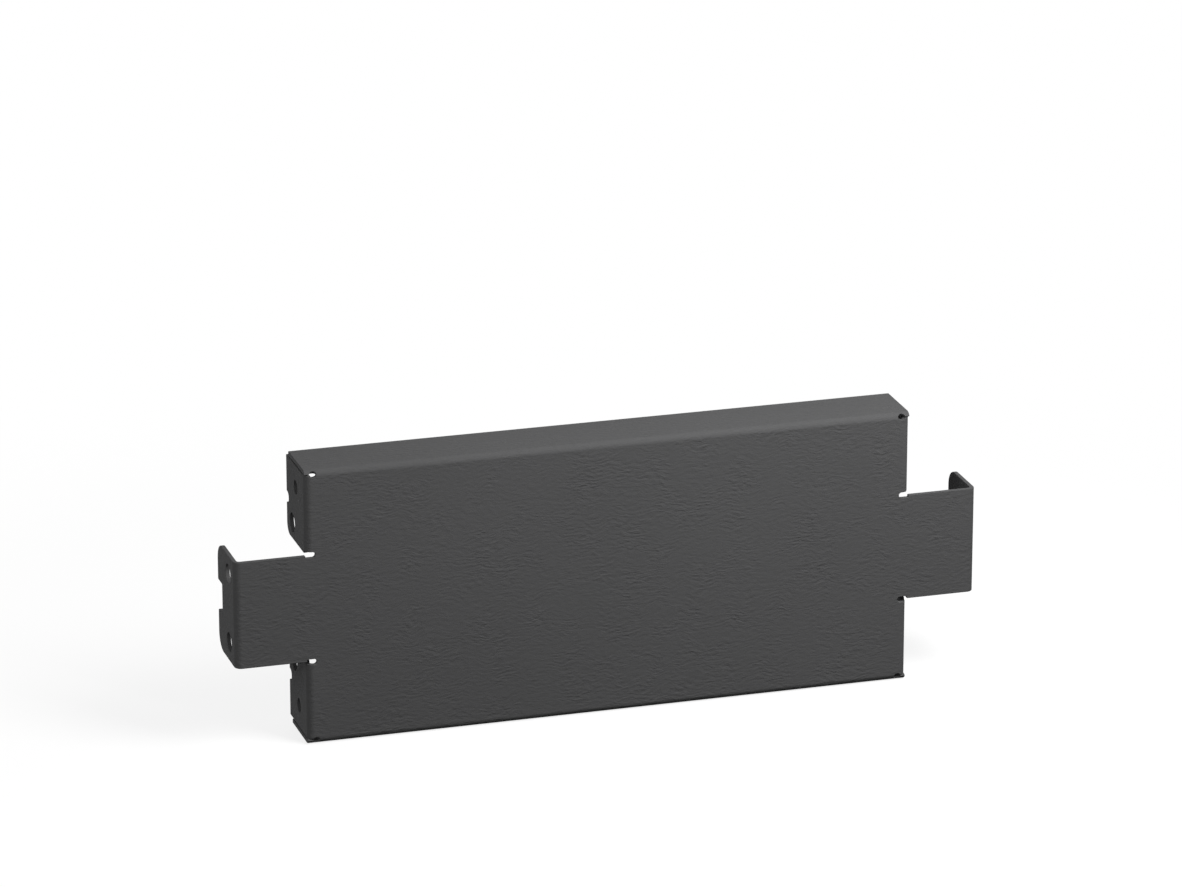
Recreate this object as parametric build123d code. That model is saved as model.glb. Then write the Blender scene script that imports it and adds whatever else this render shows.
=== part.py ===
"""Plinth panel for an enclosure base: one folded steel sheet with four flanges and two hooked tabs.

Millimetres, +Z up. The panel stands on its lower flange, on Z = 0, with its closed face
looking along -Y and its flanges folded back along +Y. It is centred on X = 0, and Y = 0 is
half-way through its depth.
"""
import os

from build123d import *

# Sheet and its folds
sheet = 1.5
inside_radius = 1.0

# Closed face, measured over the folds
face_length = 218.5
face_height = 100.0

# Flanges, measured from the closed face to their cut edge
long_flange_depth = 22.5
side_flange_depth = 25.5
side_flange_corner_radius = 4.0

# Clearances cut between neighbouring flanges
corner_gap = 0.5
tab_kerf = 0.3

# Tabs that carry the face on past the side flanges, each with a flange folded back
tab_reach = 25.2
tab_height = 38.7
tab_flange_depth = 24.0
tab_corner_radius = 6.0
tab_notch_height = 11.0
tab_notch_depth = 5.8
tab_hole_diameter = 7.0
tab_hole_spacing = 25.0
tab_hole_from_face = 9.0

# Holes and edge notch of a side flange, placed from the nearer end of the panel
screw_hole_diameter = 5.0
screw_hole_from_end = 10.0
screw_hole_from_face = 12.8
bolt_hole_diameter = 7.0
bolt_hole_from_end = 24.5
bolt_hole_from_face = 18.0
edge_notch_width = 4.0
edge_notch_depth = 2.8
edge_notch_from_end = 17.3

# Reliefs at the ends of the folds
relief_slot_width = 2.0
relief_slot_past_fold = 1.0
corner_hole_diameter = 2.4
corner_hole_past_fold = 0.5
corner_hole_turn = 25.0

# Places that follow from the sizes
outside_radius = inside_radius + sheet
half_length = face_length / 2
half_span = half_length + tab_reach
mid_height = face_height / 2
fold_start = half_length - outside_radius
side_flange_low = sheet + corner_gap
side_flange_high = face_height - side_flange_low
overall_depth = max(long_flange_depth, side_flange_depth, tab_flange_depth)


def block(x_range, y_range, z_range):
    """A square block between pairs of coordinates."""
    low = Vector(x_range[0], y_range[0], z_range[0])
    high = Vector(x_range[1], y_range[1], z_range[1])
    return Pos((low + high) / 2) * Box(*(high - low))


def rounded_web(depth, height, radius):
    """A rectangle that starts on the second axis, with its two corners there rounded."""
    outline = Pos(depth / 2, 0) * Rectangle(depth, height)
    return fillet(outline.vertices().group_by(Axis.X)[0], radius)


def folded_section(depth, height):
    """U section of the folded sheet: legs along the first axis, web centred on its zero."""
    inside = Pos(sheet, 0) * rounded_web(depth, height - 2 * sheet, inside_radius)
    return rounded_web(depth, height, outside_radius) - inside


def upright_strip(depth, half_width, low, high):
    """A strip folded back at both ends of its width, from one height to another."""
    top = Plane(origin=(0, 0, high), x_dir=(0, 1, 0), z_dir=(0, 0, -1))
    return extrude(top * folded_section(depth, 2 * half_width), amount=high - low)


def long_flanges():
    """Upper and lower flange with the face between them, open at the ends for the side flanges."""
    end = Plane.YZ.offset(-half_length) * Pos(0, mid_height)
    strip = extrude(end * folded_section(long_flange_depth, face_height), amount=face_length)
    past_end = half_length + sheet
    open_end = block((fold_start, past_end), (-sheet, overall_depth), (sheet, face_height - sheet))
    return strip - open_end - mirror(open_end, about=Plane.YZ)


def side_flanges():
    """Side flanges beyond both ends of the face, parted at mid-height where the tabs run through."""
    strip = upright_strip(side_flange_depth, half_length, side_flange_low, side_flange_high)
    past_edge = side_flange_depth + sheet
    past_end = half_length + sheet
    parting = tab_height / 2 + tab_kerf
    strip -= block((-fold_start, fold_start), (-sheet, past_edge), (0, face_height))
    tab_run = (mid_height - parting, mid_height + parting)
    strip -= block((-past_end, past_end), (-sheet, past_edge), tab_run)
    free_corners = strip.edges().filter_by(Axis.X).group_by(Axis.Y)[-1]
    by_parting = free_corners.sort_by(lambda edge: abs(edge.center().Z - mid_height))
    return fillet(by_parting[:4], side_flange_corner_radius)


def tabs():
    """Both tabs with the face between them, their flanges rounded and notched at mid-height."""
    low, high = mid_height - tab_height / 2, mid_height + tab_height / 2
    strip = upright_strip(tab_flange_depth, half_span, low, high)
    strip = fillet(strip.edges().filter_by(Axis.X).group_by(Axis.Y)[-1], tab_corner_radius)
    notch_floor = tab_flange_depth - tab_notch_depth
    notch = (mid_height - tab_notch_height / 2, mid_height + tab_notch_height / 2)
    past_end = half_span + sheet
    return strip - block((-past_end, past_end), (notch_floor, tab_flange_depth + sheet), notch)


def flange_hole(diameter, y, z):
    """A round hole along X through the flanges of both sides."""
    return Pos(0, y, z) * Rot(Y=90) * Cylinder(diameter / 2, 2 * (half_span + sheet))


def edge_notch(z):
    """A round-ended notch in the free edge of both side flanges."""
    end_radius = edge_notch_width / 2
    end_centre = side_flange_depth - edge_notch_depth + end_radius
    reach = half_length + sheet
    width = (z - end_radius, z + end_radius)
    mouth = block((-reach, reach), (end_centre, side_flange_depth + sheet), width)
    return mouth + Pos(0, end_centre, z) * Rot(Y=90) * Cylinder(end_radius, 2 * reach)


def side_flange_cuts():
    """Screw hole, edge notch and bolt hole, alike at the upper and the lower end."""
    cuts = []
    for at_end in (lambda distance: distance, lambda distance: face_height - distance):
        cuts.append(flange_hole(screw_hole_diameter, screw_hole_from_face, at_end(screw_hole_from_end)))
        cuts.append(edge_notch(at_end(edge_notch_from_end)))
        cuts.append(flange_hole(bolt_hole_diameter, bolt_hole_from_face, at_end(bolt_hole_from_end)))
    return cuts


def tab_flange_cuts():
    """Two bolt holes, one above and one below the notch."""
    cuts = []
    for step in (-0.5, 0.5):
        z = mid_height + step * tab_hole_spacing
        cuts.append(flange_hole(tab_hole_diameter, tab_hole_from_face, z))
    return cuts


def relief_slot():
    """The slot across the lower end of the upper right fold, round at its inner end."""
    end_radius = relief_slot_width / 2
    end_centre = fold_start - relief_slot_past_fold + end_radius
    z = mid_height + (tab_height + tab_kerf) / 2
    width = (z - end_radius, z + end_radius)
    slot = block((end_centre, half_length), (-sheet, outside_radius), width)
    round_end = Rot(X=90) * Cylinder(end_radius, 2 * outside_radius)
    return slot + Pos(end_centre, outside_radius / 2, z) * round_end


def corner_hole():
    """The hole where the upper and the right fold meet, drilled square to the upper fold."""
    centre = Pos(fold_start - corner_hole_past_fold, outside_radius, face_height - outside_radius)
    outwards = Rot(X=90 - corner_hole_turn) * Pos(0, 0, outside_radius / 2)
    return centre * outwards * Rot(Z=180) * Cylinder(corner_hole_diameter / 2, 2 * outside_radius)


def reliefs():
    """Slots beside the tabs and holes at the corners of the face, alike in all four quarters."""
    quarter = [relief_slot(), corner_hole()]
    right = quarter + [mirror(cut, about=Plane.XY.offset(mid_height)) for cut in quarter]
    return right + [mirror(cut, about=Plane.YZ) for cut in right]


def plinth_panel():
    """The whole folded sheet as one solid."""
    panel = long_flanges() + (side_flanges() - side_flange_cuts()) + (tabs() - tab_flange_cuts())
    panel -= reliefs()
    return Pos(0, -overall_depth / 2, 0) * panel


os.makedirs("parts", exist_ok=True)
export_step(plinth_panel(), "parts/plinth_panel.step")
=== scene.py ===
"""Plinth panel of an enclosure: one folded steel sheet in dark grey textured powder coat.

The panel is made as the real one is. Its blank is drawn flat, with every hole, slot and notch cut
and every cut edge rounded, and a geometry node tree then folds the blank to its finished shape.
Metres, +Z up: the panel stands on its lower flange and its closed face looks along -Y.
"""
import math

import bmesh
import bpy
from mathutils import Matrix, Vector
from mathutils.geometry import delaunay_2d_cdt


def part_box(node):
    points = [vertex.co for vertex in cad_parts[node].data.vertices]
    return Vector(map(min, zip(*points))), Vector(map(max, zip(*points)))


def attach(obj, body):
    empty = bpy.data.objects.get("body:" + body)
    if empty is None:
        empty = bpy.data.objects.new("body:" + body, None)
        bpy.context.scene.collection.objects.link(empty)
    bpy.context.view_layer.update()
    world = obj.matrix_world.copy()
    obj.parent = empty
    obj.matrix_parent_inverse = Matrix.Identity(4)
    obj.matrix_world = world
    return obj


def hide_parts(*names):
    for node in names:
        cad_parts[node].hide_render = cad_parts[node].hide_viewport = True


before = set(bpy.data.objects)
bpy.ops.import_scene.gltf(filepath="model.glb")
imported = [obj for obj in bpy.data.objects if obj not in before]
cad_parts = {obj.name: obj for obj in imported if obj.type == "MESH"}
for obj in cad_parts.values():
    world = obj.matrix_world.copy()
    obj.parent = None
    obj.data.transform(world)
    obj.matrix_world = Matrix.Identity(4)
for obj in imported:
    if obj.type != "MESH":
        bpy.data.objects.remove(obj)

bl_info = {
    "name": "Plinth panel",
    "version": (1, 0, 0),
    "blender": (4, 5, 0),
    "location": "View3D > Sidebar > Plinth panel",
    "description": "Makes a folded sheet plinth panel and the plain stage it stands on",
    "category": "Add Mesh",
}

CAD_NODE = "plinth_panel"
CAD_LOW, CAD_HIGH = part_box(CAD_NODE)

# The CAD model's sizes and the closed face's length, in millimetres
SPAN = 1000 * (CAD_HIGH.x - CAD_LOW.x)
DEPTH = 1000 * (CAD_HIGH.y - CAD_LOW.y)
HEIGHT = 1000 * CAD_HIGH.z
FACE_LENGTH = 218.5

# The photograph's frame in pixels, and the place in it of the closed face's middle
PHOTO_WIDTH, PHOTO_HEIGHT = 1182, 887
FACE_MIDDLE_X, FACE_MIDDLE_Y = 611.22, 577.73

# Points of the blank nearer than this are one point, in metres; the triangles are cut finer
SAME_POINT = 1e-7
TRIANGLE_TOLERANCE = 1e-8

WHITE = (1, 1, 1, 1)


# Settings

def length(name, description, millimetres):
    """A size that a user may change, given in millimetres and kept in metres."""
    return bpy.props.FloatProperty(
        name=name, description=description, default=millimetres / 1000, min=0.0,
        unit="LENGTH", subtype="DISTANCE", precision=4)


def colour(name, description, rgb):
    """A colour that a user may change."""
    return bpy.props.FloatVectorProperty(
        name=name, description=description, default=rgb, size=3, min=0.0, max=1.0, subtype="COLOR")


def share(name, description, value, most=1.0):
    """A plain number that a user may change."""
    return bpy.props.FloatProperty(name=name, description=description, default=value, min=0.0, max=most)


def power(name, description, watts):
    """A lamp's power that a user may change."""
    return bpy.props.FloatProperty(
        name=name, description=description, default=watts, min=0.0, unit="POWER")


class PanelSizes(bpy.types.PropertyGroup):
    """Sizes of the folded sheet."""
    sheet: length("Sheet", "Thickness of the steel sheet", 1.5)
    fold_radius: length("Fold radius", "Outside radius of every fold", 2.5)
    edge_radius: length("Edge radius", "Rounding that the powder coat gives a cut edge", 0.2)
    corner_radius: length("Corner radius", "Rounding of the punched corners", 0.3)
    face_length: length("Face length", "Length of the closed face over its side folds", FACE_LENGTH)
    face_height: length("Face height", "Height of the closed face over its long folds", HEIGHT)
    long_flange: length(
        "Long flange depth", "Closed face to the edge of the upper and lower flange", 22.5)
    side_flange: length("Side flange depth", "Closed face to the edge of a side flange", DEPTH)
    side_flange_corner: length(
        "Side flange corner", "Radius of a side flange's corner beside the tab", 4.0)
    corner_gap: length("Corner gap", "Gap between a long flange and a side flange", 0.5)
    tab_kerf: length("Tab kerf", "Width of the cut between a tab and a side flange", 0.3)
    tab_reach: length("Tab reach", "How far a tab carries the face on", (SPAN - FACE_LENGTH) / 2)
    tab_height: length("Tab height", "Height of a tab", 38.7)
    tab_flange: length("Tab flange depth", "Closed face to the edge of a tab's flange", 24.0)
    tab_corner: length("Tab corner", "Radius of a tab flange's corners", 6.0)
    tab_notch_height: length("Tab notch height", "Height of the notch in a tab's flange", 11.0)
    tab_notch_depth: length("Tab notch depth", "Depth of the notch in a tab's flange", 5.8)
    tab_hole: length("Tab hole", "Diameter of the holes in a tab's flange", 7.0)
    tab_hole_spacing: length("Tab hole spacing", "Distance between the holes in a tab's flange", 25.0)
    tab_hole_from_face: length("Tab hole from face", "Closed face to the holes in a tab's flange", 9.0)
    screw_hole: length("Screw hole", "Diameter of the small holes in a side flange", 5.0)
    screw_hole_from_end: length("Screw hole from end", "Small hole to the panel's top or foot", 10.0)
    screw_hole_from_face: length("Screw hole from face", "Closed face to the small holes", 12.8)
    bolt_hole: length("Bolt hole", "Diameter of the large holes in a side flange", 7.0)
    bolt_hole_from_end: length("Bolt hole from end", "Large hole to the panel's top or foot", 24.5)
    bolt_hole_from_face: length("Bolt hole from face", "Closed face to the large holes", 18.0)
    edge_notch_width: length("Edge notch width", "Width of the notch in a side flange's edge", 4.0)
    edge_notch_depth: length("Edge notch depth", "Depth of the notch in a side flange's edge", 2.8)
    edge_notch_from_end: length("Edge notch from end", "Edge notch to the panel's top or foot", 17.3)
    relief_slot: length("Relief slot width", "Width of the slots beside the tabs", 2.0)
    relief_slot_past_fold: length("Relief slot past fold", "How far the slots run into the face", 1.0)
    corner_hole: length("Corner hole", "Diameter of the relief holes at the face's corners", 2.4)
    corner_hole_past_fold: length(
        "Corner hole past fold", "Side fold to the middle of a corner hole", 0.5)
    corner_hole_turn: bpy.props.FloatProperty(
        name="Corner hole turn", description="How far round the long fold a corner hole sits",
        default=math.radians(25), min=0.0, max=math.radians(90), unit="ROTATION", subtype="ANGLE")
    hole_steps: bpy.props.IntProperty(
        name="Hole steps", description="Straight pieces round a hole", default=48, min=12, max=128)
    fold_steps: bpy.props.IntProperty(
        name="Fold steps", description="Flat strips across a fold", default=10, min=3, max=32)


class CoatSettings(bpy.types.PropertyGroup):
    """Looks of the powder coat."""
    colour: colour("Coat colour", "Colour of the powder coat", (0.062, 0.062, 0.0628))
    roughness: share("Roughness", "Roughness of the powder coat", 0.60)
    gloss: share("Gloss", "Strength of the coat's reflection", 0.01)
    wrinkle_length: length("Wrinkle length", "Length of the coat's wrinkles along the panel", 2.5)
    wrinkle_width: length("Wrinkle width", "Width of the coat's wrinkles", 1.0)
    wrinkle_height: length("Wrinkle height", "Height of the coat's wrinkles", 0.29)
    sway_length: length("Sway length", "Length over which the wrinkles rise and fall", 10.0)
    sway_height: length("Sway height", "How far the wrinkles rise and fall", 5.0)
    patch_size: length("Patch size", "Size of the patches where the wrinkles stand out", 9.0)
    grain_size: length("Grain size", "Size of the coat's fine grain", 0.35)
    grain_height: length("Grain height", "Height of the coat's fine grain", 0.006)


class StageSettings(bpy.types.PropertyGroup):
    """Floor, light and camera."""
    floor_colour: colour("Floor colour", "Colour of the floor", (0.80, 0.80, 0.80))
    floor_bounce: share(
        "Floor bounce", "Share of its light that the floor sends back to the panel", 0.03)
    floor_glow: share("Floor glow", "Share of plain white in the floor beside the panel", 0.82)
    key_power: power("Key lamp", "Power of the lamp above and in front", 4.5)
    fill_power: power("Fill lamp", "Power of the lamp at the left", 1.8)
    back_power: power("Back lamp", "Power of the lamp behind", 6.5)
    room_light: share("Room light", "Strength of the even light from all round", 0.28, 2.0)
    camera_turn: bpy.props.FloatProperty(
        name="Camera turn", description="Camera's turn to the panel's left", default=math.radians(16.86),
        unit="ROTATION", subtype="ANGLE")
    camera_rise: bpy.props.FloatProperty(
        name="Camera rise", description="Camera's angle above the horizon", default=math.radians(18.81),
        unit="ROTATION", subtype="ANGLE")
    focal_length: share("Focal length", "Lens length in millimetres on a 36 mm frame", 185.79, 1000.0)
    camera_distance: length(
        "Camera distance", "Camera to the closed face's middle, along its line of sight", 2120.1)


# Node trees written as expressions

class Wire:
    """One output socket in an expression: each operator adds the Math node that it names."""

    def __init__(self, socket):
        self.socket = socket

    @classmethod
    def add(cls, tree, kind, settings=None, inputs=None, output=0):
        """Adds a node of that kind: its settings first, then the values or links of its sockets."""
        made = tree.nodes.new(kind)
        for name, value in (settings or {}).items():
            setattr(made, name, value)
        for name, value in (inputs or {}).items():
            if isinstance(value, cls):
                tree.links.new(value.socket, made.inputs[name])
            else:
                made.inputs[name].default_value = value
        return cls(made.outputs[output]) if made.outputs else made

    @classmethod
    def math(cls, operation, *values):
        """One Math node over wires and plain numbers."""
        tree = next(value for value in values if isinstance(value, cls)).socket.node.id_data
        return cls.add(tree, "ShaderNodeMath", {"operation": operation}, dict(enumerate(values)))

    def output(self, name):
        """Another output of the same node."""
        return Wire(self.socket.node.outputs[name])

    def calc(self, operation, *others):
        """This wire, and any others, through one Math node."""
        return Wire.math(operation, self, *others)

    def __add__(self, other):
        return self.calc("ADD", other)

    def __sub__(self, other):
        return self.calc("SUBTRACT", other)

    def __rsub__(self, other):
        return Wire.math("SUBTRACT", other, self)

    def __mul__(self, other):
        return self.calc("MULTIPLY", other)

    def __truediv__(self, other):
        return self.calc("DIVIDE", other)

    def __gt__(self, other):
        return self.calc("GREATER_THAN", other)

    def __lt__(self, other):
        return self.calc("LESS_THAN", other)

    def __abs__(self):
        return self.calc("ABSOLUTE")

    __radd__ = __add__
    __rmul__ = __mul__


# Blank, drawn flat

def turn_between(first, second):
    """Signed angle from one direction to the next; a left turn is positive."""
    return math.atan2(first.x * second.y - first.y * second.x, first.dot(second))


def rounded(corners, steps):
    """A closed line through (along, up, radius) corners, each rounded to its own radius."""
    line = []
    for before, corner, after in zip(corners[-1:] + corners[:-1], corners, corners[1:] + corners[:1]):
        point, radius = Vector(corner[:2]), corner[2]
        if radius == 0:
            line.append(point)
            continue
        inwards = (point - Vector(before[:2])).normalized()
        outwards = (Vector(after[:2]) - point).normalized()
        turn = turn_between(inwards, outwards)
        to_centre = Vector((-inwards.y, inwards.x)) * math.copysign(radius, turn)
        centre = point - inwards * radius * math.tan(abs(turn) / 2) + to_centre
        count = max(3, math.ceil(abs(turn) / math.tau * steps))
        turns = [Matrix.Rotation(turn * step / count, 2) for step in range(count + 1)]
        line += [centre + turned @ -to_centre for turned in turns]
    neighbours = zip(line[-1:] + line[:-1], line)
    return [point for before, point in neighbours if (point - before).length > SAME_POINT]


def circle(along, up, diameter, steps):
    """A round hole's line, run clockwise so that the sheet lies on its left."""
    radius = diameter / 2
    angles = [-math.tau * step / steps for step in range(steps)]
    return [Vector((along + radius * math.cos(a), up + radius * math.sin(a))) for a in angles]


def fold_lines(sizes):
    """Where the side, long and tab folds start on the blank, and how much blank one fold takes."""
    side = sizes.face_length / 2 - sizes.fold_radius
    long = sizes.face_height / 2 - sizes.fold_radius
    return side, long, side + sizes.tab_reach, sizes.fold_radius * math.pi / 2


def corner_hole_corners(sizes, gap_low, gap_high):
    """The relief hole at a corner of the face, entered and left along the gap between the flanges."""
    side, long, _, _ = fold_lines(sizes)
    radius = sizes.corner_hole / 2
    along = side - sizes.corner_hole_past_fold
    up = long + sizes.fold_radius * sizes.corner_hole_turn
    first, last = math.asin((gap_low - up) / radius), math.asin((gap_high - up) / radius) - math.tau
    clear = math.radians(15)
    count = sizes.hole_steps // 2
    turns = [first - clear + (last - first + 2 * clear) * step / count for step in range(count + 1)]
    arc = [(along + radius * math.cos(a), up + radius * math.sin(a), 0) for a in turns]
    entry = (along + radius * math.cos(first), gap_low, sizes.edge_radius)
    leave = (along + radius * math.cos(last), gap_high, sizes.edge_radius)
    return [entry, *arc, leave]


def quarter_outline(sizes):
    """Corners of the blank's upper right quarter, from the middle of the tab's edge to the top."""
    side, long, tab, taken = fold_lines(sizes)
    small = sizes.corner_radius
    past_fold = taken - sizes.fold_radius
    tab_edge = tab + past_fold + sizes.tab_flange
    side_edge = side + past_fold + sizes.side_flange
    top_edge = long + past_fold + sizes.long_flange
    tab_side = sizes.tab_height / 2
    slot_middle, slot = tab_side + sizes.tab_kerf / 2, sizes.relief_slot / 2
    slot_end = side - sizes.relief_slot_past_fold
    half_face = sizes.face_length / 2
    notch, notch_half = sizes.face_height / 2 - sizes.edge_notch_from_end, sizes.edge_notch_width / 2
    notch_floor = side_edge - sizes.edge_notch_depth
    gap_low = sizes.face_height / 2 - sizes.sheet - sizes.corner_gap
    skin_turn = math.asin((sizes.fold_radius - sizes.sheet) / sizes.fold_radius)
    gap_high = long + sizes.fold_radius * skin_turn
    return [
        (tab_edge - sizes.tab_notch_depth, sizes.tab_notch_height / 2, small),
        (tab_edge, sizes.tab_notch_height / 2, small),
        (tab_edge, tab_side, sizes.tab_corner),
        (half_face, tab_side, small),
        (half_face, slot_middle - slot, small),
        (slot_end, slot_middle - slot, slot),
        (slot_end, slot_middle + slot, slot),
        (side + taken, slot_middle + slot, small),
        (side + taken, tab_side + sizes.tab_kerf, small),
        (side_edge, tab_side + sizes.tab_kerf, sizes.side_flange_corner),
        (side_edge, notch - notch_half, small),
        (notch_floor, notch - notch_half, notch_half),
        (notch_floor, notch + notch_half, notch_half),
        (side_edge, notch + notch_half, small),
        (side_edge, gap_low, small),
        *corner_hole_corners(sizes, gap_low, gap_high),
        (half_face, gap_high, small),
        (half_face, top_edge, small),
    ]


def blank_lines(sizes):
    """Every closed line of the blank: its outline and its round holes."""
    quarter = quarter_outline(sizes)
    left = [(-along, up, radius) for along, up, radius in reversed(quarter)]
    upper = quarter + left
    lower = [(-along, -up, radius) for along, up, radius in upper]
    lines = [rounded(upper + lower, sizes.hole_steps)]
    side, _, tab, taken = fold_lines(sizes)
    past_fold = taken - sizes.fold_radius
    half = sizes.face_height / 2
    on_side, on_tab = side + past_fold, tab + past_fold
    holes = [
        (on_side + sizes.screw_hole_from_face, half - sizes.screw_hole_from_end, sizes.screw_hole),
        (on_side + sizes.bolt_hole_from_face, half - sizes.bolt_hole_from_end, sizes.bolt_hole),
        (on_tab + sizes.tab_hole_from_face, sizes.tab_hole_spacing / 2, sizes.tab_hole),
    ]
    for along, up, diameter in holes:
        for right in (1, -1):
            lines += [circle(right * along, high * up, diameter, sizes.hole_steps) for high in (1, -1)]
    return lines


def rim_vectors(line):
    """Outward unit steps off the sheet at each point of a closed line, lengthened at its bends."""
    vectors = []
    for before, point, after in zip(line[-1:] + line[:-1], line, line[1:] + line[:1]):
        inwards, outwards = (point - before).normalized(), (after - point).normalized()
        middle = (inwards + outwards).normalized()
        vectors.append(Vector((middle.y, -middle.x)) / middle.dot(outwards))
    return vectors


def outer_skin(sizes):
    """The blank's outer skin inside its rounded edges, cut along every strip of every fold."""
    points, rims, loops = [], [], []
    for line in blank_lines(sizes):
        vectors = rim_vectors(line)
        loops.append(range(len(points), len(points) + len(line)))
        points += [point - rim * sizes.edge_radius for point, rim in zip(line, vectors)]
        rims += vectors
    outline, *holes = [list(loop) for loop in loops]
    areas = [outline] + [hole[::-1] for hole in holes]
    inside_only = 1
    flat, _, faces, came_from, _, inside = delaunay_2d_cdt(
        points, [], areas, inside_only, TRIANGLE_TOLERANCE)
    mesh = bmesh.new()
    rim_layer = mesh.verts.layers.float_vector.new("rim")
    for point, sources in zip(flat, came_from):
        vertex = mesh.verts.new((point.x, 0, point.y))
        if sources:
            vertex[rim_layer] = (rims[sources[0]].x, 0, rims[sources[0]].y)
    mesh.verts.ensure_lookup_table()
    for face, in_areas in zip(faces, inside):
        if list(in_areas) == [0]:
            mesh.faces.new([mesh.verts[i] for i in face])
    side, long, tab, taken = fold_lines(sizes)
    for line, across in ((side, (1, 0, 0)), (tab, (1, 0, 0)), (long, (0, 0, 1))):
        for step in range(sizes.fold_steps + 1):
            for sign in (1, -1):
                place = Vector(across) * sign * (line + taken * step / sizes.fold_steps)
                everything = mesh.verts[:] + mesh.edges[:] + mesh.faces[:]
                bmesh.ops.bisect_plane(
                    mesh, geom=everything, dist=SAME_POINT, plane_co=place, plane_no=across)
    return mesh, rim_layer


def edge_rings(sizes, steps=3):
    """Rows round a cut edge, outer skin to inner: how far in and how deep, and which way each faces."""
    radius = sizes.edge_radius
    quarter = [math.pi / 2 * step / steps for step in range(steps + 1)]
    outer = [
        (radius * (1 - math.sin(a)), radius * (1 - math.cos(a)), math.sin(a), -math.cos(a))
        for a in quarter
    ]
    inner = [
        (inwards, sizes.sheet - depth, out, -back)
        for inwards, depth, out, back in reversed(outer)
    ]
    return outer + inner


def blank_mesh(sizes):
    """The flat blank as a closed mesh: depth 0 is the outer skin, the sheet's thickness the inner."""
    mesh, rim_layer = outer_skin(sizes)
    facing = mesh.verts.layers.float_vector.new("facing")
    skin_faces, skin_verts = mesh.faces[:], mesh.verts[:]
    rim_loops = [edge.link_loops[0] for edge in mesh.edges if edge.is_boundary]
    around = [(loop.vert, loop.link_loop_next.vert) for loop in rim_loops]
    inner = {}
    for vertex in skin_verts:
        vertex[facing] = (0, -1, 0)
        inner[vertex] = mesh.verts.new((vertex.co.x, sizes.sheet, vertex.co.z))
        inner[vertex][facing] = (0, 1, 0)
    for face in skin_faces:
        mesh.faces.new([inner[vertex] for vertex in reversed(face.verts)])
    rings = {}
    for vertex in dict.fromkeys(vertex for pair in around for vertex in pair):
        rim = Vector(vertex[rim_layer])
        rings[vertex] = [vertex]
        for inwards, depth, out, back in edge_rings(sizes)[1:-1]:
            place = vertex.co + rim * (sizes.edge_radius - inwards) + Vector((0, depth, 0))
            ring_vertex = mesh.verts.new(place)
            ring_vertex[facing] = rim.normalized() * out + Vector((0, back, 0))
            rings[vertex].append(ring_vertex)
        rings[vertex].append(inner[vertex])
    for first, second in around:
        for row in range(len(rings[first]) - 1):
            a, b = rings[first][row:row + 2], rings[second][row:row + 2]
            mesh.faces.new([b[0], a[0], a[1], b[1]])
    mesh.verts.layers.float_vector.remove(rim_layer)
    blank = bpy.data.meshes.new("flat_blank")
    mesh.to_mesh(blank)
    mesh.free()
    return blank


# Folding

FOLD_INPUTS = (
    ("Fold radius", "Outside radius of every fold"),
    ("Side fold", "Middle of the face to its side folds"),
    ("Long fold", "Middle of the face to its long folds"),
    ("Tab fold", "Middle of the face to the tabs' folds"),
    ("Tab edge", "Middle of the face to the cut above a tab"),
    ("Flange gap", "Middle of the face to the gap above a side flange"),
    ("Middle height", "Height of the face's middle above the ground"),
    ("Setback", "How far the closed face stands in front of the panel's middle"),
)


def folded(reach, depth, line, radius):
    """How far a point of the blank turns in its fold, and its reach and depth afterwards."""
    past = (reach - line).calc("MAXIMUM", 0.0)
    angle = (past / radius).calc("MINIMUM", math.pi / 2)
    straight = (past - radius * (math.pi / 2)).calc("MAXIMUM", 0.0)
    inner = radius - depth
    out = reach.calc("MINIMUM", line) + inner * angle.calc("SINE")
    return angle, out, radius - inner * angle.calc("COSINE") + straight


def choose(mask, chosen, other):
    """One value where the mask is 1, and the other where it is 0."""
    return mask * chosen + (1 - mask) * other


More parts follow.
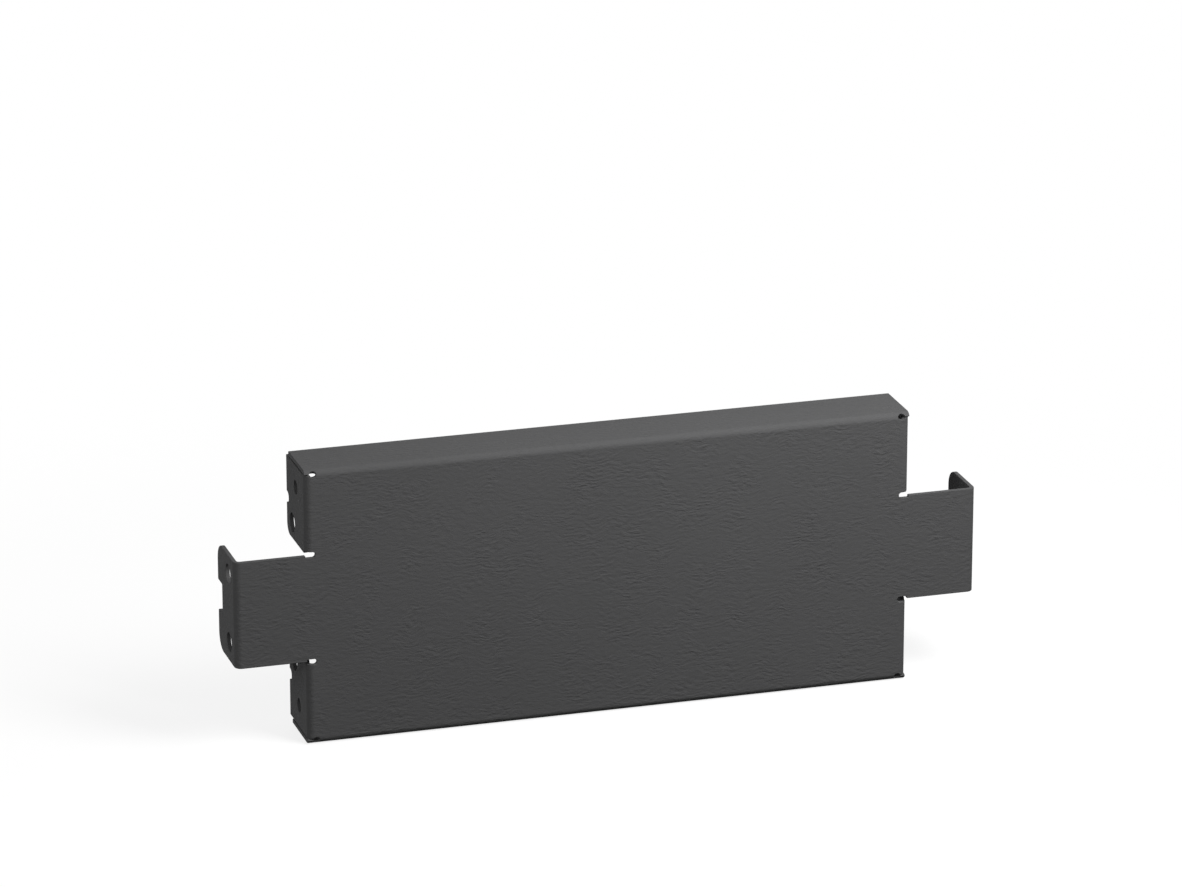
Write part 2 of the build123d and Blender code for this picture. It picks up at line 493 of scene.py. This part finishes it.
def fold_tree():
    """The node tree that folds the long, the side and the tabs' flanges back from a flat blank."""
    tree = bpy.data.node_groups.new("Fold sheet blank", "GeometryNodeTree")
    tree.interface.new_socket("Blank", in_out="INPUT", socket_type="NodeSocketGeometry")
    for name, description in FOLD_INPUTS:
        socket = tree.interface.new_socket(name, in_out="INPUT", socket_type="NodeSocketFloat")
        socket.description, socket.subtype = description, "DISTANCE"
    tree.interface.new_socket("Coat", in_out="INPUT", socket_type="NodeSocketMaterial")
    tree.interface.new_socket("Panel", in_out="OUTPUT", socket_type="NodeSocketGeometry")
    blank = Wire.add(tree, "NodeGroupInput")
    radius, side, long, tab, tab_edge, gap, middle, setback = [
        blank.output(name) for name, _ in FOLD_INPUTS]

    position = Wire.add(tree, "GeometryNodeInputPosition")
    along = Wire.add(tree, "ShaderNodeSeparateXYZ", inputs={0: position})
    depth, up = along.output("Y"), along.output("Z")
    on_side_flange = (abs(along) > side) * (abs(up) < gap)
    rises = (abs(up) > long) * (1 - on_side_flange)
    on_tab = abs(up) < tab_edge
    line = choose(rises, long, choose(on_tab, tab, side))
    reach = choose(rises, abs(up), abs(along))
    angle, out, back = folded(reach, depth, line, radius)
    right, high = along.calc("SIGN"), up.calc("SIGN")
    place = Wire.add(tree, "ShaderNodeCombineXYZ", inputs={
        "X": choose(rises, along, right * out),
        "Y": back - setback,
        "Z": middle + choose(rises, high * out, up),
    })

    facing = Wire.add(
        tree, "GeometryNodeInputNamedAttribute", {"data_type": "FLOAT_VECTOR"}, {"Name": "facing"})
    faces_along = Wire.add(tree, "ShaderNodeSeparateXYZ", inputs={0: facing})
    faces_back, faces_up = faces_along.output("Y"), faces_along.output("Z")
    faces_out = choose(rises, high * faces_up, right * faces_along)
    cosine, sine = angle.calc("COSINE"), angle.calc("SINE")
    turned_out = faces_out * cosine - faces_back * sine
    turned = Wire.add(tree, "ShaderNodeCombineXYZ", inputs={
        "X": choose(rises, faces_along, right * turned_out),
        "Y": faces_out * sine + faces_back * cosine,
        "Z": choose(rises, high * turned_out, faces_up),
    })

    kept = Wire.add(
        tree, "GeometryNodeStoreNamedAttribute", {"data_type": "FLOAT_VECTOR", "domain": "POINT"},
        {"Geometry": blank.output("Blank"), "Name": "folded_facing", "Value": turned})
    bent = Wire.add(tree, "GeometryNodeSetPosition", inputs={"Geometry": kept, "Position": place})
    real = Wire.add(tree, "GeometryNodeRealizeInstances", inputs={"Geometry": bent})
    coated = Wire.add(
        tree, "GeometryNodeSetMaterial", inputs={"Geometry": real, "Material": blank.output("Coat")})
    Wire.add(tree, "NodeGroupOutput", inputs={"Panel": coated})
    return tree


def fold_panel(blank, sizes, coat):
    """Folds the blank through the node tree and returns the panel as a plain mesh object."""
    panel = bpy.data.objects.new("folded_panel", blank)
    bpy.context.scene.collection.objects.link(panel)
    side, long, tab, _ = fold_lines(sizes)
    tree = fold_tree()
    values = {
        "Fold radius": sizes.fold_radius,
        "Side fold": side,
        "Long fold": long,
        "Tab fold": tab,
        "Tab edge": sizes.tab_height / 2 + sizes.tab_kerf / 2,
        "Flange gap": sizes.face_height / 2 - sizes.sheet - sizes.corner_gap / 2,
        "Middle height": sizes.face_height / 2,
        "Setback": sizes.side_flange / 2,
        "Coat": coat,
    }
    modifier = panel.modifiers.new("Fold", "NODES")
    modifier.node_group = tree
    for item in tree.interface.items_tree:
        if item.in_out == "INPUT" and item.name in values:
            modifier[item.identifier] = values[item.name]
    graph = bpy.context.evaluated_depsgraph_get()
    mesh = bpy.data.meshes.new_from_object(
        panel.evaluated_get(graph), preserve_all_data_layers=True, depsgraph=graph)
    panel.modifiers.clear()
    panel.data = mesh
    mesh.name = "folded_panel"
    mesh.shade_smooth()
    normals = [item.vector.copy() for item in mesh.attributes["folded_facing"].data]
    mesh.normals_split_custom_set_from_vertices(normals)
    for name in ("facing", "folded_facing"):
        mesh.attributes.remove(mesh.attributes[name])
    return panel


# Powder coat

WRINKLE_DETAIL, WRINKLE_HARSHNESS = 2.0, 0.55

# Where the patches' noise is above its low level the wrinkles grow, and they never fade below a share
PATCH_LOW, PATCH_GAIN, LEAST_RELIEF = 0.22, 2.6, 0.45

# Clouds to the metre, and how far clouds, wrinkles and grain shift the coat's tone and roughness
CLOUDS = 18.0
# The wrinkles' shift of tone is painted shade and painted light: darker in their hollows, lighter on
# their crests
CLOUD_TONE, WRINKLE_PAINTED_SHADE = 0.10, 0.20
GRAIN_ROUGHNESS, WRINKLE_ROUGHNESS = 0.10, 0.12


def scaled(tree, vector, factors):
    """A vector multiplied along each axis."""
    return Wire.add(tree, "ShaderNodeVectorMath", {"operation": "MULTIPLY"}, {0: vector, 1: factors})


def noise(tree, vector, detail, rough=0.5):
    """Smooth noise with features about one unit across."""
    return Wire.add(tree, "ShaderNodeTexNoise", inputs={
        "Vector": vector, "Scale": 1.0, "Detail": detail, "Roughness": rough})


def powder_coat(look):
    """Dark grey textured powder coat: short wavy wrinkles that stand out in patches, and a fine grain."""
    material = bpy.data.materials.new("powder_coat_dark_grey")
    material.use_nodes = True
    tree = material.node_tree
    tree.nodes.clear()
    place = Wire.add(tree, "ShaderNodeTexCoord").output("Object")
    sway = noise(tree, scaled(tree, place, (1 / look.sway_length,) * 3), 1.0)
    lift = Wire.add(tree, "ShaderNodeCombineXYZ", inputs={"Z": (sway - 0.5) * look.sway_height})
    swayed = Wire.add(tree, "ShaderNodeVectorMath", {"operation": "ADD"}, {0: place, 1: lift})
    across = 1 / look.wrinkle_width
    stretched = scaled(tree, swayed, (1 / look.wrinkle_length, across, across))
    wrinkles = noise(tree, stretched, WRINKLE_DETAIL, WRINKLE_HARSHNESS)
    patches = noise(tree, scaled(tree, place, (1 / look.patch_size,) * 3), 1.0)
    relief = (wrinkles - 0.5) * ((patches - PATCH_LOW) * PATCH_GAIN).calc("MAXIMUM", LEAST_RELIEF)
    grain = noise(tree, scaled(tree, place, (1 / look.grain_size,) * 3), 1.0)
    clouds = noise(tree, scaled(tree, place, (CLOUDS,) * 3), 2.0)

    # Painted shade and light: the wrinkles' hollows are coloured darker and their crests lighter, over
    # the clouds' random tone
    tone_and_painted_shade = 1 + (clouds - 0.5) * CLOUD_TONE + relief * WRINKLE_PAINTED_SHADE
    tint_with_painted_shade = Wire.add(tree, "ShaderNodeVectorMath", {"operation": "SCALE"},
                    {0: tuple(look.colour), "Scale": tone_and_painted_shade})
    rough = look.roughness + (grain - 0.5) * GRAIN_ROUGHNESS - relief * WRINKLE_ROUGHNESS
    height = relief * look.wrinkle_height + (grain - 0.5) * look.grain_height
    bumps = Wire.add(tree, "ShaderNodeBump", inputs={"Strength": 1.0, "Distance": 1.0, "Height": height})
    shader = Wire.add(tree, "ShaderNodeBsdfPrincipled", inputs={
        "Base Color": tint_with_painted_shade, "Roughness": rough, "Specular IOR Level": look.gloss, "Normal": bumps})
    Wire.add(tree, "ShaderNodeOutputMaterial", inputs={"Surface": shader})
    return material


class PLINTH_OT_folded_panel(bpy.types.Operator):
    """Cuts the flat blank, folds it and gives it its powder coat."""
    bl_idname = "plinth.folded_panel"
    bl_label = "Folded panel"

    def execute(self, context):
        sizes = context.scene.plinth_panel_sizes
        coat = powder_coat(context.scene.plinth_coat)
        panel = fold_panel(blank_mesh(sizes), sizes, coat)
        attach(panel, "root")
        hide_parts(CAD_NODE)
        return {"FINISHED"}


# Stage

# Each lamp's place, and the side of its square, in metres
KEY_LAMP = (0.203, -0.268, 0.44), 0.25
FILL_LAMP = (-0.60, -0.30, 0.25), 0.40
BACK_LAMP = (0.15, 0.80, 0.12), 0.30
LAMP_AIM = Vector((0, 0, 0.05))

# The floor's half side and its drop below the panel, and where it turns white, in metres
FLOOR_REACH, FLOOR_DROP = 6.0, 0.0001
FLOOR_CELLS = 8
WHITENS_FROM, WHITE_AT = 0.15, 0.40

# The camera's sensor width in millimetres, and its nearest and farthest view in metres
SENSOR_WIDTH = 36.0
NEAREST, FARTHEST = 0.05, 30.0


def seen_directly(tree):
    """1 for rays that show the background: the camera's own, mirrored and passed ones."""
    path = Wire.add(tree, "ShaderNodeLightPath")
    either = path.output("Is Camera Ray").calc("MAXIMUM", path.output("Is Glossy Ray"))
    return either.calc("MAXIMUM", path.output("Is Transmission Ray"))


def floor_material(look):
    """A pale floor that keeps the panel's shadow, whitens further off and sends little light back."""
    material = bpy.data.materials.new("pale_floor")
    material.use_nodes = True
    tree = material.node_tree
    tree.nodes.clear()
    place = Wire.add(tree, "ShaderNodeTexCoord").output("Object")
    from_panel = Wire.add(tree, "ShaderNodeVectorMath", {"operation": "LENGTH"}, {0: place}, "Value")
    far = Wire.add(tree, "ShaderNodeMapRange", {"interpolation_type": "SMOOTHSTEP"}, {
        "Value": from_panel, "From Min": WHITENS_FROM, "From Max": WHITE_AT,
        "To Min": look.floor_glow, "To Max": 1.0})
    dim = Wire.add(tree, "ShaderNodeBsdfDiffuse", inputs={"Color": (look.floor_bounce,) * 3 + (1,)})
    lit = Wire.add(tree, "ShaderNodeBsdfDiffuse", inputs={"Color": (*look.floor_colour, 1)})
    white = Wire.add(tree, "ShaderNodeEmission", inputs={"Color": WHITE, "Strength": 1.0})
    seen = Wire.add(tree, "ShaderNodeMixShader", inputs={0: far, 1: lit, 2: white})
    both = Wire.add(tree, "ShaderNodeMixShader", inputs={0: seen_directly(tree), 1: dim, 2: seen})
    Wire.add(tree, "ShaderNodeOutputMaterial", inputs={"Surface": both})
    return material


def make_floor(look):
    """A wide flat floor just under the panel."""
    mesh = bmesh.new()
    bmesh.ops.create_grid(mesh, x_segments=FLOOR_CELLS, y_segments=FLOOR_CELLS, size=FLOOR_REACH)
    bmesh.ops.translate(mesh, verts=mesh.verts[:], vec=(0, 0, -FLOOR_DROP))
    data = bpy.data.meshes.new("floor")
    mesh.to_mesh(data)
    mesh.free()
    data.materials.append(floor_material(look))
    floor = bpy.data.objects.new("floor", data)
    bpy.context.scene.collection.objects.link(floor)


def make_world(look):
    """A white room: white where it is seen, and an even light of the set strength on the panel."""
    world = bpy.data.worlds.new("white_room")
    world.use_nodes = True
    tree = world.node_tree
    tree.nodes.clear()
    white = Wire.add(tree, "ShaderNodeBackground", inputs={"Color": WHITE, "Strength": 1.0})
    even = Wire.add(tree, "ShaderNodeBackground", inputs={"Color": WHITE, "Strength": look.room_light})
    room = Wire.add(tree, "ShaderNodeMixShader", inputs={0: seen_directly(tree), 1: even, 2: white})
    Wire.add(tree, "ShaderNodeOutputWorld", inputs={"Surface": room})
    bpy.context.scene.world = world


def make_lamp(name, setting, watts):
    """A soft square lamp aimed at the panel, which the camera doesn't see."""
    place, size = setting
    data = bpy.data.lights.new(name, "AREA")
    data.shape, data.size, data.energy = "SQUARE", size, watts
    lamp = bpy.data.objects.new(name, data)
    lamp.location = place
    lamp.visible_camera = False
    lamp.rotation_euler = (LAMP_AIM - Vector(place)).to_track_quat("-Z", "Y").to_euler()
    bpy.context.scene.collection.objects.link(lamp)
    return lamp


def make_camera(look, sizes):
    """The photograph's camera: in front, to the left and a little above."""
    turn, rise = look.camera_turn, look.camera_rise
    ahead = Vector((math.sin(turn) * math.cos(rise), math.cos(turn) * math.cos(rise), -math.sin(rise)))
    right = Vector((math.cos(turn), -math.sin(turn), 0))
    below = ahead.cross(right)
    pixels = look.focal_length / SENSOR_WIDTH * PHOTO_WIDTH
    face_middle = Vector((0, -sizes.side_flange / 2, sizes.face_height / 2))
    aside = (FACE_MIDDLE_X - PHOTO_WIDTH / 2) / pixels * look.camera_distance
    under = (FACE_MIDDLE_Y - PHOTO_HEIGHT / 2) / pixels * look.camera_distance
    data = bpy.data.cameras.new("camera")
    data.lens, data.sensor_width, data.sensor_fit = look.focal_length, SENSOR_WIDTH, "HORIZONTAL"
    data.clip_start, data.clip_end = NEAREST, FARTHEST
    camera = bpy.data.objects.new("camera", data)
    camera.location = face_middle - ahead * look.camera_distance - right * aside - below * under
    camera.rotation_euler = ahead.to_track_quat("-Z", "Y").to_euler()
    bpy.context.scene.collection.objects.link(camera)
    bpy.context.scene.camera = camera


class PLINTH_OT_stage(bpy.types.Operator):
    """Makes the floor, the white room, the lamps and the camera."""
    bl_idname = "plinth.stage"
    bl_label = "Stage"

    def execute(self, context):
        look = context.scene.plinth_stage
        make_floor(look)
        make_world(look)
        make_lamp("key_lamp", KEY_LAMP, look.key_power)
        make_lamp("fill_lamp", FILL_LAMP, look.fill_power)
        back_lamp = make_lamp("back_lamp", BACK_LAMP, look.back_power)
        back_lamp.visible_glossy = False
        make_camera(look, context.scene.plinth_panel_sizes)
        context.scene.view_settings.view_transform = "Standard"
        return {"FINISHED"}


class PLINTH_PT_sidebar(bpy.types.Panel):
    """The steps that make the plinth panel, and its settings."""
    bl_idname = "PLINTH_PT_sidebar"
    bl_label = "Plinth panel"
    bl_space_type = "VIEW_3D"
    bl_region_type = "UI"
    bl_category = "Plinth panel"

    def draw(self, context):
        for operator in (PLINTH_OT_folded_panel, PLINTH_OT_stage):
            self.layout.operator(operator.bl_idname)
        for group in ("plinth_panel_sizes", "plinth_coat", "plinth_stage"):
            settings = getattr(context.scene, group)
            box = self.layout.box()
            for name in settings.__annotations__:
                box.prop(settings, name)


CLASSES = (
    PanelSizes,
    CoatSettings,
    StageSettings,
    PLINTH_OT_folded_panel,
    PLINTH_OT_stage,
    PLINTH_PT_sidebar,
)


def register():
    for each in CLASSES:
        bpy.utils.register_class(each)
    bpy.types.Scene.plinth_panel_sizes = bpy.props.PointerProperty(type=PanelSizes)
    bpy.types.Scene.plinth_coat = bpy.props.PointerProperty(type=CoatSettings)
    bpy.types.Scene.plinth_stage = bpy.props.PointerProperty(type=StageSettings)


def unregister():
    del bpy.types.Scene.plinth_stage, bpy.types.Scene.plinth_coat, bpy.types.Scene.plinth_panel_sizes
    for each in reversed(CLASSES):
        bpy.utils.unregister_class(each)


def main():
    """Makes the panel and its stage."""
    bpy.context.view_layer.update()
    register()
    bpy.ops.plinth.folded_panel()
    bpy.ops.plinth.stage()


if __name__ == "__main__":
    main()
